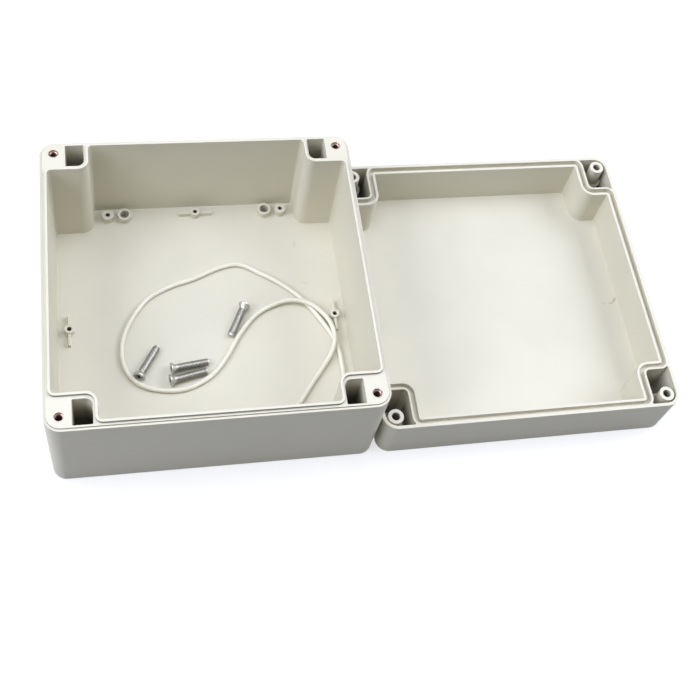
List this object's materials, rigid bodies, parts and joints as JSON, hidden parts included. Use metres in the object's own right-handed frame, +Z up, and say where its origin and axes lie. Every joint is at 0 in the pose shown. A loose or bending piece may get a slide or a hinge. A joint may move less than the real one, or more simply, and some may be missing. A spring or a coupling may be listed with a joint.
{
  "type": "junction box",
  "caption": "Square moulded plastic junction box, open: a deep base with corner blocks and floor bosses, and its loose lid with a seal groove beside it; screws and seal cord lie inside.",
  "frame": {"origin": "centre of the base's underside", "axes": "+Z up out of the open base, +X towards the lid that lies beside it, +Y towards the back"},
  "size_m": [0.3204, 0.1612, 0.0615],
  "materials": {
    "shell_plastic": "fine satin moulded plastic, warm light grey",
    "seal_rubber": "soft satin, cream white",
    "screw_steel": "bright zinc plated",
    "insert_brass": "turned, dull copper brown"
  },
  "bodies": {
    "root": {"base": "shell_plastic", "lid": "shell_plastic", "seal_cord": "seal_rubber", "cover_screw_1": "screw_steel", "cover_screw_2": "screw_steel", "cover_screw_3": "screw_steel", "cover_screw_4": "screw_steel", "insert_back_left": "insert_brass", "insert_back_right": "insert_brass", "insert_front_left": "insert_brass", "insert_front_right": "insert_brass"}
  },
  "joints": []
}
